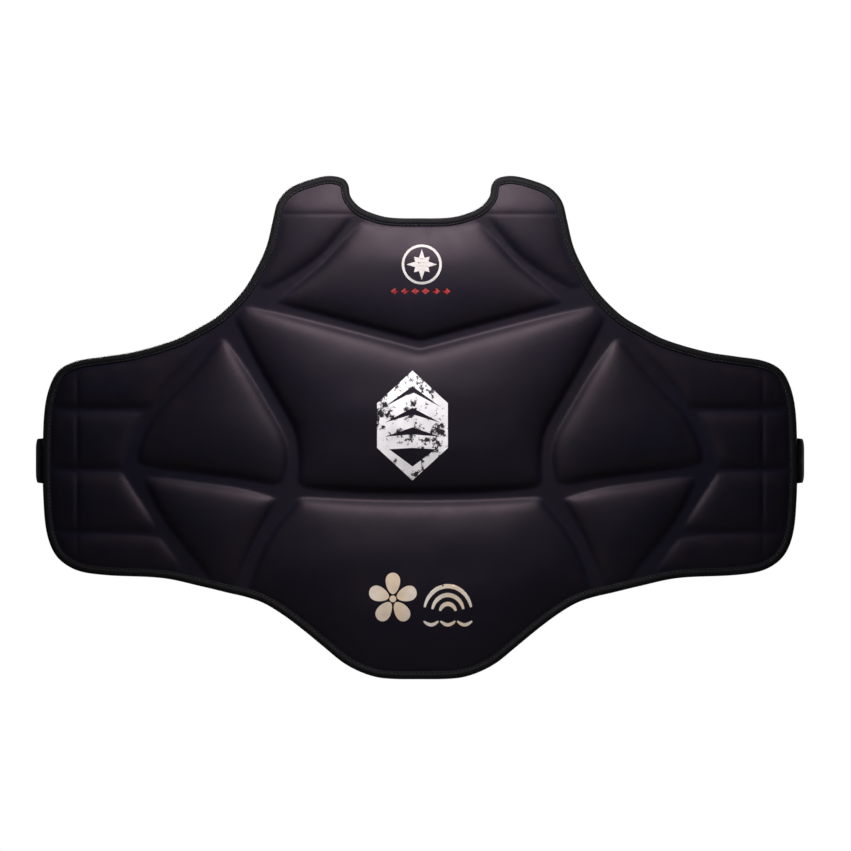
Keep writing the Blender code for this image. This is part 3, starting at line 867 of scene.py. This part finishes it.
MARK = (200, 129)
bindings = {
    "binding_shoulder_left": (index_run((0, 217), MARK), 1),
    "binding_side_left": (index_run(MARK, (0, -279)), 3),
    "binding_side_right": (index_run((0, -279), (-MARK[0], MARK[1])), 4),
    "binding_shoulder_right": (index_run((-MARK[0], MARK[1]), (0, 217)), 2),
}
binding_obs = {}
for label, (idx, region) in bindings.items():
    binding_obs[label] = (binding_piece(label + "_tape", idx), region, idx)


# ------------------------------------------------------------------ stitches
def stitch_rows(name, centres, along, up, length=3.0, radius=0.32, sink=0.1):
    """Short lengths of thread, each pulled down at its two ends."""
    verts, faces = [], []
    sides, rings = 5, 4
    for c, t, u in zip(centres, along, up):
        t = t / np.linalg.norm(t)
        u = u - t * (u @ t)
        u = u / np.linalg.norm(u)
        s = np.cross(t, u)
        base = len(verts)
        for k in range(rings + 1):
            f = k / rings
            r = radius * (0.45 + 0.55 * math.sin(math.pi * f))
            mid_p = c + t * (f - 0.5) * length + u * (radius * 0.9 * math.sin(math.pi * f) - sink)
            for q in range(sides):
                a = 2 * math.pi * q / sides
                verts.append((mid_p + (s * math.cos(a) + u * math.sin(a)) * r) * MM)
        for k in range(rings):
            for q in range(sides):
                a, b = base + k * sides + q, base + k * sides + (q + 1) % sides
                faces.append((a, b, b + sides, a + sides))
        faces.append(tuple(base + q for q in range(sides))[::-1])
        faces.append(tuple(base + rings * sides + q for q in range(sides)))
    me = bpy.data.meshes.new(name)
    me.from_pydata([tuple(v) for v in verts], [], faces)
    me.polygons.foreach_set("use_smooth", [True] * len(me.polygons))
    me.update()
    ob = bpy.data.objects.new(name, me)
    bpy.context.scene.collection.objects.link(ob)
    ob.data.materials.append(THREAD)
    return ob


def edge_stitches(name, idx, depth, y, front=True, pitch=4.2):
    base, nrm = OUTLINE[idx], OUT_N[idx]
    line = base + nrm * depth
    s = np.concatenate([[0], np.cumsum(np.hypot(*np.diff(line, axis=0).T))])
    at = np.arange(pitch / 2, s[-1], pitch)
    x, z = np.interp(at, s, line[:, 0]), np.interp(at, s, line[:, 1])
    x2, z2 = np.interp(at + 1, s, line[:, 0]), np.interp(at + 1, s, line[:, 1])
    yy = y + sweep(x) + lean(z)
    y2 = y + sweep(x2) + lean(z2)
    c = np.stack([x, yy, z], 1)
    t = np.stack([x2 - x, y2 - yy, z2 - z], 1) + 1e-9
    up = np.tile(np.array([0, -1.0 if front else 1.0, 0]), (len(c), 1))
    return stitch_rows(name, c, t, up)


stitch_obs = []
for label, (ob, region, idx) in binding_obs.items():
    stitch_obs.append((edge_stitches(label.replace("binding", "stitches_face"), idx, 6.9, -9.95), region))
    stitch_obs.append((edge_stitches(label.replace("binding", "stitches_back"), idx, 6.9, 0.45, False), region))


# ------------------------------------------------------------------ prints
def ring_poly(cx, cz, r, n=48, sx=1.0, sz=1.0, a0=0.0, a1=360.0):
    a = np.radians(np.linspace(a0, a1, n, endpoint=abs(a1 - a0) < 359.9))
    return [(cx + sx * r * math.cos(t), cz + sz * r * math.sin(t)) for t in a]


def band(points, width, taper=0.0):
    """A stroke along a line, with its ends narrowed a little."""
    p = np.array(points, float)
    nrm = normals_of(p, closed=False)
    t = np.linspace(0, 1, len(p))
    w = width * (1 - taper * np.abs(2 * t - 1) ** 3)
    return [tuple(v) for v in p + nrm * w[:, None] / 2] + \
           [tuple(v) for v in (p - nrm * w[:, None] / 2)[::-1]]


def dense(loop, step=1.6):
    loop = np.array(loop, float)
    out = []
    for a, b in zip(loop, np.roll(loop, -1, 0)):
        k = max(1, int(round(math.dist(a, b) / step)))
        out.extend(a + (b - a) * t for t in np.linspace(0, 1, k, endpoint=False))
    return np.array(out)


def print_film(name, shapes, mat, lift=0.22):
    """Flat shapes, each an outline with its holes, laid on the face as thin film."""
    verts, faces = [], []
    for outer, holes in shapes:
        loops = [dense(outer)] + [dense(h) for h in holes]
        pts2, edges = [], []
        for l in loops:
            b = len(pts2)
            pts2.extend(tuple(v) for v in l)
            edges.extend((b + i, b + (i + 1) % len(l)) for i in range(len(l)))
        lo, hi = loops[0].min(0), loops[0].max(0)
        gx, gz = np.meshgrid(np.arange(lo[0], hi[0], 2.2), np.arange(lo[1], hi[1], 2.2))
        g = np.stack([gx.ravel(), gz.ravel()], 1)
        if len(g):
            ok = inside(g, loops[0])
            for l in loops:
                ok &= distance_to(g, l) > 0.9
            for l in loops[1:]:
                ok &= ~inside(g, l)
            pts2.extend(tuple(v) for v in g[ok])
        out = delaunay_2d_cdt([Vector(p) for p in pts2], edges, [], 0, 1e-5)
        q = np.array([(v.x, v.y) for v in out[0]])
        f = np.array([t for t in out[2] if len(t) == 3])
        m = q[f].mean(1)
        ok = inside(m, loops[0])
        for l in loops[1:]:
            ok &= ~inside(m, l)
        base = len(verts)
        for x, z in q:
            p, _ = on_face(x, z, lift)
            verts.append(p)
        for a, b, c in f[ok]:
            pa, pb, pc = q[a], q[b], q[c]
            s = (pb[0] - pa[0]) * (pc[1] - pa[1]) - (pb[1] - pa[1]) * (pc[0] - pa[0])
            # counter-clockwise as seen from -Y with +X right and +Z up faces -Y
            faces.append((base + a, base + b, base + c) if s > 0 else (base + a, base + c, base + b))
    ob = mesh_object(name, verts, faces)
    ob.data.materials.append(mat)
    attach(ob, "torso")
    return ob


# silver print: silver ink with a painted reflection, a bright band across its middle and darker colour above and
# below
SILVER_PAINTED_REFLECTION = film("print_silver_painted_reflection", [(0.0, (0.34, 0.33, 0.32)), (0.5, (0.62, 0.60, 0.57)),
                               (1.0, (0.45, 0.43, 0.41))], "Z", 0.135, 0.185, 0.30)
RED = film("print_red", [(0.0, (0.22, 0.012, 0.014)), (1.0, (0.36, 0.022, 0.024))], "X", -0.04, 0.04, 0.34)
WHITE = film("print_white", [(0.0, (0.90, 0.91, 0.92)), (1.0, (0.94, 0.95, 0.95))], "Z", -0.07, 0.06, 0.455)
# gold print: gold ink with a painted reflection, light and dark bands alternating across it from left to right
GOLD_PAINTED_REFLECTION = film("print_gold_painted_reflection", [(0.0, (0.92, 0.86, 0.72)), (0.30, (0.82, 0.66, 0.46)),
                           (0.55, (0.95, 0.91, 0.82)), (0.8, (0.84, 0.70, 0.50)),
                           (1.0, (0.94, 0.88, 0.76))], "X", -0.06, 0.06, 0.28)

# upper print: a ring with a four-point star, over a row of small red bars
ux, uz = 2.0, 167.0


def star(cx, cz, r, inner_r, n, sx=1.0, sz=1.0, turn=90.0):
    out = []
    for k in range(2 * n):
        a = math.radians(turn + 180.0 * k / n)
        q = r if k % 2 == 0 else inner_r
        out.append((cx + sx * q * math.cos(a), cz + sz * q * math.sin(a)))
    return out


print_film("print_upper_ring", [
    (ring_poly(ux, uz, 21.5, 72), [ring_poly(ux, uz, 18.8, 64)]),
    (star(ux, uz, 16.5, 5.6, 4), []),
    (star(ux, uz, 11.8, 6.4, 4, turn=45.0), []),
], SILVER_PAINTED_REFLECTION)
print_film("print_upper_bars", [
    ([(ux - 33.6 + k * 11.2, uz - 28.8), (ux - 29.4 + k * 11.2, uz - 32.2),
      (ux - 25.2 + k * 11.2, uz - 28.8), (ux - 29.4 + k * 11.2, uz - 25.4)], []) for k in range(6)
], RED)

# middle print: nested tall lozenges cut by slanting gaps
cx, cz = -8.0, -6.0


def tall(scale_x, scale_z):
    return [(cx, cz + 59 * scale_z), (cx + 38 * scale_x, cz + 24 * scale_z),
            (cx + 38 * scale_x, cz - 24 * scale_z), (cx, cz - 59 * scale_z),
            (cx - 38 * scale_x, cz - 24 * scale_z), (cx - 38 * scale_x, cz + 24 * scale_z)]


def slab(x0, z0, x1, z1, x2, z2, x3, z3):
    return [(cx + x0, cz + z0), (cx + x1, cz + z1), (cx + x2, cz + z2), (cx + x3, cz + z3)]


print_film("print_middle_lozenge", [
    (tall(1.0, 1.0), [
        slab(-30, 20, 0, 42, 30, 20, 0, 36),
        slab(-30, 3, 0, 19, 30, 3, 0, 12),
        slab(-30, -12, 0, -2, 30, -12, 0, -9.5),
        slab(-25, -25.5, 0, -24, 25, -25.5, 0, -44),
    ]),
], WHITE)

# lower print: a blossom beside a fan of three waves
gx0, gz0 = 1.0, -192.0
petals = []
for k in range(5):
    a = math.radians(90 + 72 * k)
    px, pz = gx0 - 30 + 15.5 * math.cos(a), gz0 + 16.5 * math.sin(a)
    ca, sa = math.cos(a), math.sin(a)
    q = []
    for t in np.linspace(0, 2 * math.pi, 30, endpoint=False):
        u, v = 11.0 * math.cos(t), 7.6 * math.sin(t) * (1 + 0.25 * math.cos(t))
        q.append((px + u * ca - v * sa, pz + (u * sa + v * ca) * 1.05))
    petals.append((q, []))
petals.append((ring_poly(gx0 - 30, gz0, 3.6, 20), []))
fans = []
for r in (8.5, 17.0, 25.5):
    fans.append((band(ring_poly(gx0 + 29, gz0 - 15, r, 26, 1.0, 1.12, 12, 168), 4.6, 0.5), []))
for dx in (-18, 0, 18):
    fans.append((band([(gx0 + 29 + dx - 8 + t * 16, gz0 - 24 - 4.0 * math.sin(math.pi * t))
                       for t in np.linspace(0, 1, 14)], 3.6, 0.6), []))
print_film("print_lower_marks", petals + fans, GOLD_PAINTED_REFLECTION)


# ------------------------------------------------------------------ webbing
def web_strip(name, width_pts, run_pts, thick, mat, to_world):
    """A strip of webbing with rounded edges; to_world turns (run, width, out) mm into a point."""
    half = thick / 2
    sect = []
    w0, w1 = width_pts[0], width_pts[-1]
    for w in width_pts:
        edge = min(w - w0, w1 - w)
        sect.append((w, half * min(1.0, 0.35 + edge / 1.2)))
    loop = [(w, o) for w, o in sect] + [(w, -o) for w, o in reversed(sect)]
    verts, faces, ar, aw = [], [], [], []
    m = len(loop)
    for r in run_pts:
        for w, o in loop:
            verts.append(np.array(to_world(r, w, o)) * MM)
            ar.append(w)
            aw.append(r)
    for i in range(len(run_pts) - 1):
        for k in range(m):
            a, b = i * m + k, i * m + (k + 1) % m
            faces.append((a, b, b + m, a + m))
    faces.append(tuple(range(m))[::-1])
    faces.append(tuple((len(run_pts) - 1) * m + k for k in range(m)))
    me = bpy.data.meshes.new(name)
    me.from_pydata([tuple(v) for v in verts], [], faces)
    me.polygons.foreach_set("use_smooth", [True] * len(me.polygons))
    for key, val in (("run", ar), ("wid", aw)):
        a = me.attributes.new(key, "FLOAT", "POINT")
        a.data.foreach_set("value", np.asarray(val, np.float32))
    bm = bmesh.new()
    bm.from_mesh(me)
    bmesh.ops.recalc_face_normals(bm, faces=bm.faces[:])
    bm.to_mesh(me)
    bm.free()
    me.set_sharp_from_angle(angle=math.radians(50))
    ob = bpy.data.objects.new(name, me)
    bpy.context.scene.collection.objects.link(ob)
    ob.data.materials.append(mat)
    return ob


def stitch_path(name, path3, up, pitch=3.6, length=2.6):
    p = np.array(path3, float)
    s = np.concatenate([[0], np.cumsum(np.linalg.norm(np.diff(p, axis=0), axis=1))])
    at = np.arange(pitch / 2, s[-1], pitch)
    c = np.stack([np.interp(at, s, p[:, k]) for k in range(3)], 1)
    c2 = np.stack([np.interp(at + 0.4, s, p[:, k]) for k in range(3)], 1)
    c1 = np.stack([np.interp(at - 0.4, s, p[:, k]) for k in range(3)], 1)
    return stitch_rows(name, c, c2 - c1, np.tile(np.array(up, float), (len(c), 1)), length, 0.3, 0.08)


for s, side in ((1, "left"), (-1, "right")):
    # waist strap: sewn end, the roll at its fold, and the free end lying back over it
    z0, z1 = STRAP_Z - STRAP_W / 2, STRAP_Z + STRAP_W / 2
    widths = np.concatenate([[z0, z0 + 0.5, z0 + 1.2], np.linspace(z0 + 3, z1 - 3, 12), [z1 - 1.2, z1 - 0.5, z1]])

    def at_back(off):
        def f(r, w, o, off=off):
            t = min(1.0, max(0.0, (r - 402.0) / 15.0))
            w = STRAP_Z + (w - STRAP_Z) * (1.0 - 0.035 * t * t)
            return (s * (r - 1.5 * t * abs((w - STRAP_Z) / 25.0) ** 7),
                    sweep(r) + off + o + 0.18 * math.sin(w * 0.5 + r * 0.07), w)
        return f

    base = web_strip(f"waist_webbing_sewn_{side}", widths, np.linspace(345, 416.4, 24), 1.4, WEBBING, at_back(1.6))
    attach(base, f"wing_{side}")
    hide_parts(f"waist_strap_base_{side}")
    strap_mat = WEBBING_GREY if s > 0 else WEBBING
    free_ob = web_strip(f"waist_webbing_free_{side}", widths, np.linspace(345, 416.4, 24), 1.4, strap_mat, at_back(3.35))
    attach(free_ob, f"waist_strap_{side}")
    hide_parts(f"waist_strap_{side}")
    # the roll of webbing round the stitch line
    axis_y = sweep(FOLD_X) + 2.45
    roll_v, roll_f, rr, rw = [], [], [], []
    turns = 20
    for i, w in enumerate(widths):
        r0 = 1.75 - (0.5 if i in (0, len(widths) - 1) else 0.0)
        for k in range(turns):
            a = 2 * math.pi * k / turns
            in_w = (w - STRAP_Z) / 25.0
            roll_v.append(np.array([s * (FOLD_X - 1.9 * abs(in_w) ** 7 + r0 * math.cos(a)),
                                    axis_y + r0 * math.sin(a), STRAP_Z + in_w * 24.1]) * MM)
            rr.append(w)
            rw.append(a * 2)
    for i in range(len(widths) - 1):
        for k in range(turns):
            a, b = i * turns + k, i * turns + (k + 1) % turns
            roll_f.append((a, b, b + turns, a + turns))
    roll_f.append(tuple(range(turns))[::-1])
    roll_f.append(tuple((len(widths) - 1) * turns + k for k in range(turns)))
    roll = mesh_object(f"waist_webbing_fold_{side}", roll_v, roll_f, None, {"run": rr, "wid": rw})
    roll.data.materials.append(strap_mat)
    roll.data.set_sharp_from_angle(angle=math.radians(60))
    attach(roll, f"waist_strap_{side}")

    # hook or loop patch on the free end
    face, mat = ("hook", HOOK) if s > 0 else ("loop", LOOP)
    pw = np.concatenate([[z0 + 3, z0 + 3.4], np.linspace(z0 + 5, z1 - 5, 9), [z1 - 3.4, z1 - 3]])
    patch = web_strip(f"{face}_tape_waist_{side}", pw, np.linspace(349, 399, 20), 1.3, mat, at_back(4.75))
    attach(patch, f"waist_strap_{side}")
    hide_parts(f"{face}_patch_waist_{side}")
    ring = [(350.5, z0 + 4.5), (397.5, z0 + 4.5), (397.5, z1 - 4.5), (350.5, z1 - 4.5), (350.5, z0 + 4.5)]
    path = []
    for (xa, za), (xb, zb) in zip(ring, ring[1:]):
        for t in np.linspace(0, 1, 24):
            xx, zz = xa + (xb - xa) * t, za + (zb - za) * t
            path.append((s * xx, sweep(xx) + 5.42, zz))
    st = stitch_path(f"stitches_waist_patch_{side}", path, (0, 1, 0))
    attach(st, f"waist_strap_{side}")

    # shoulder strap hanging behind, and the tab it is sewn to
    xa, xb = 95.0, 133.0
    wpts = np.concatenate([[xa, xa + 0.5, xa + 1.2], np.linspace(xa + 3, xb - 3, 9), [xb - 1.2, xb - 0.5, xb]])

    def hanging(r, w, o):
        d = (247.0 - r) / 387.0
        return (s * w, 9.75 + o + 4.5 * math.sin(math.pi * min(1, d)) ** 2 + 0.9 * math.sin(d * 9.0), r)

    sh = web_strip(f"shoulder_webbing_{side}", wpts, np.linspace(247.0, -140.0, 100), 1.4, WEBBING, hanging)
    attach(sh, f"shoulder_strap_{side}")
    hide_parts(f"shoulder_strap_{side}")

    def hook_place(r, w, o):
        x, y, z = hanging(r, w, 0.0)
        return (x, y + 1.35 + o, z)

    hw_pts = np.concatenate([[xa + 2, xa + 2.4], np.linspace(xa + 4, xb - 4, 8), [xb - 2.4, xb - 2]])
    hp = web_strip(f"hook_tape_shoulder_{side}", hw_pts, np.linspace(-66.0, -136.0, 30), 1.3, HOOK, hook_place)
    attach(hp, f"shoulder_strap_{side}")
    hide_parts(f"hook_patch_shoulder_{side}")
    ring = [(-67.8, xa + 3.6), (-134.2, xa + 3.6), (-134.2, xb - 3.6), (-67.8, xb - 3.6), (-67.8, xa + 3.6)]
    path = []
    for (ra, wa), (rb, wb) in zip(ring, ring[1:]):
        for t in np.linspace(0, 1, 24):
            path.append(hook_place(ra + (rb - ra) * t, wa + (wb - wa) * t, 0.68))
    st = stitch_path(f"stitches_shoulder_patch_{side}", path, (0, 1, 0))
    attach(st, f"shoulder_strap_{side}")

    def tab_place(r, w, o):
        return (s * w, sweep(w) + float(lean(r)) + 1.35 + o * 0.8, r)

    tab = web_strip(f"shoulder_tab_{side}", wpts, np.linspace(252.0, 233.5, 12), 1.2, WEBBING, tab_place)
    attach(tab, f"shoulder_flap_{side}")
    path = []
    box_pts = [(250.3, xa + 2.5), (235.5, xa + 2.5), (235.5, xb - 2.5), (250.3, xb - 2.5), (250.3, xa + 2.5),
               (235.5, xb - 2.5)]
    for (ra, wa), (rb, wb) in zip(box_pts, box_pts[1:]):
        for t in np.linspace(0, 1, 16):
            path.append(tab_place(ra + (rb - ra) * t, wa + (wb - wa) * t, 0.85))
    st = stitch_path(f"stitches_shoulder_tab_{side}", path, (0, 1, 0.25))
    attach(st, f"shoulder_flap_{side}")

# ------------------------------------------------------------------ bodies
NODES = list(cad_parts)


def owned(prefixes, suffix=""):
    return [x for x in NODES if x.startswith(prefixes) and x.endswith(suffix)]


for k, label in enumerate(REGION_NAMES):
    place(covers[label], k)
    place(linings[label], k)
for label, (ob, region, idx) in binding_obs.items():
    place(ob, region)
for ob, region in stitch_obs:
    place(ob, region)

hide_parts("face_skin_torso", "backing_sheet_torso",
            *[x for x in NODES if x.startswith("foam_") and "_wing_" not in x and "_flap_" not in x])
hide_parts("lining_torso")
for side in ("left", "right"):
    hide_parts(f"face_skin_wing_{side}", f"backing_sheet_wing_{side}",
                *[f"foam_wing_{i}_{side}" for i in range(1, 5)])
    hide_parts(f"lining_wing_{side}")
    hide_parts(f"face_skin_flap_{side}", f"foam_flap_{side}")
    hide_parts(f"lining_flap_{side}")
    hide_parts(f"binding_wing_{side}", f"binding_armhole_{side}")
    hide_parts(f"binding_flap_{side}")
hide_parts("binding_neck")
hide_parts("binding_bottom")
# the lining is cut flat and stretched over the back of the foam: its flat size is its outline's
# width along the curve and its height up the leaning flaps
for k, label in enumerate(REGION_NAMES):
    ob = linings[label]
    tri = ltris[lwhere == k]
    flat_x = np.sign(lx) * np.where(np.abs(lx) > FLAT_HALF, FLAT_HALF + SWEEP_R * np.arcsin(
        np.clip((np.abs(lx) - FLAT_HALF) / SWEEP_R, 0, 1)), np.abs(lx))
    flat_z = lz + np.where(lz > CREASE_Z, (lz - CREASE_Z) * (math.sqrt(1 + FLAP_LEAN ** 2) - 1), 0)
    p0, p1, p2 = [np.stack([flat_x[tri[:, q]], flat_z[tri[:, q]]], 1) for q in range(3)]
    u, v = p1 - p0, p2 - p0

# ------------------------------------------------------------------ stage, light, camera
scene = bpy.context.scene


def plain(name, colour, rough):
    m, nt, bsdf = new_material(name)
    bsdf.inputs["Base Color"].default_value = (*colour, 1.0)
    bsdf.inputs["Roughness"].default_value = rough
    bsdf.inputs["Specular IOR Level"].default_value = 0.1
    return m


floor_v = [(2.5 * math.cos(a), 2.5 * math.sin(a), -0.62)
           for a in np.linspace(0, 2 * math.pi, 96, endpoint=False)]
floor = mesh_object("studio_floor", floor_v, [tuple(range(96))])
floor_mat = plain("studio_floor_pale", (0.22, 0.22, 0.225), 0.8)
floor_nt = floor_mat.node_tree
seen = floor_nt.nodes.new("ShaderNodeLightPath")
glow = floor_nt.nodes["Principled BSDF"]
glow.inputs["Emission Color"].default_value = (1, 1, 1, 1)
floor_nt.links.new(math_node(floor_nt, "MULTIPLY", seen.outputs["Is Camera Ray"], 0.78),
                   glow.inputs["Emission Strength"])
floor.data.materials.append(floor_mat)


def area_light(name, loc, aim, size, size_y, power, colour=(1, 1, 1), spread=180.0):
    l = bpy.data.lights.new(name, "AREA")
    l.shape = "RECTANGLE"
    l.size, l.size_y = size, size_y
    l.energy = power
    l.color = colour
    l.spread = math.radians(spread)
    ob = bpy.data.objects.new(name, l)
    ob.location = loc
    ob.rotation_euler = (Vector(aim) - Vector(loc)).to_track_quat("-Z", "Y").to_euler()
    scene.collection.objects.link(ob)
    return ob


area_light("key_top", (0.0, -0.62, 0.80), (0, 0.0, 0.10), 0.50, 0.30, 17.0, (1.0, 0.94, 0.95))
area_light("fill_front", (-0.5, -3.4, 0.5), (0, 0, 0), 1.6, 1.2, 0.9, (0.36, 0.54, 1.0))
area_light("back_high", (-0.9, 1.9, 1.25), (0, 0.1, 0.0), 0.7, 0.5, 12.0, (1.0, 0.98, 0.96), 60.0)
area_light("back_low", (1.1, 2.2, 0.25), (0, 0.1, 0.0), 0.9, 0.9, 2.0, (0.90, 0.95, 1.0), 60.0)

# white behind the object, with little light from it
world = bpy.data.worlds.new("studio_world")
scene.world = world
world.use_nodes = True
wn = world.node_tree
back = wn.nodes["Background"]
back.inputs["Color"].default_value = (1, 1, 1, 1)
dim = wn.nodes.new("ShaderNodeBackground")
dim.inputs["Color"].default_value = (0.45, 0.62, 1, 1)
dim.inputs["Strength"].default_value = 0.03
pick = wn.nodes.new("ShaderNodeMixShader")
ray = wn.nodes.new("ShaderNodeLightPath")
wn.links.new(ray.outputs["Is Camera Ray"], pick.inputs[0])
wn.links.new(dim.outputs[0], pick.inputs[1])
wn.links.new(back.outputs[0], pick.inputs[2])
wn.links.new(pick.outputs[0], next(x for x in wn.nodes if x.type == "OUTPUT_WORLD").inputs["Surface"])
scene.view_settings.view_transform = "Standard"

cam_data = bpy.data.cameras.new("camera")
cam = bpy.data.objects.new("camera", cam_data)
scene.collection.objects.link(cam)
DIST = 8.0
cam.location = (0.006, -DIST, -0.006)
cam.rotation_euler = (math.radians(90), 0, 0)
cam_data.sensor_width = 36.0
cam_data.lens = 36.0 * DIST / 0.9165
cam_data.clip_end = 50.0
scene.camera = cam
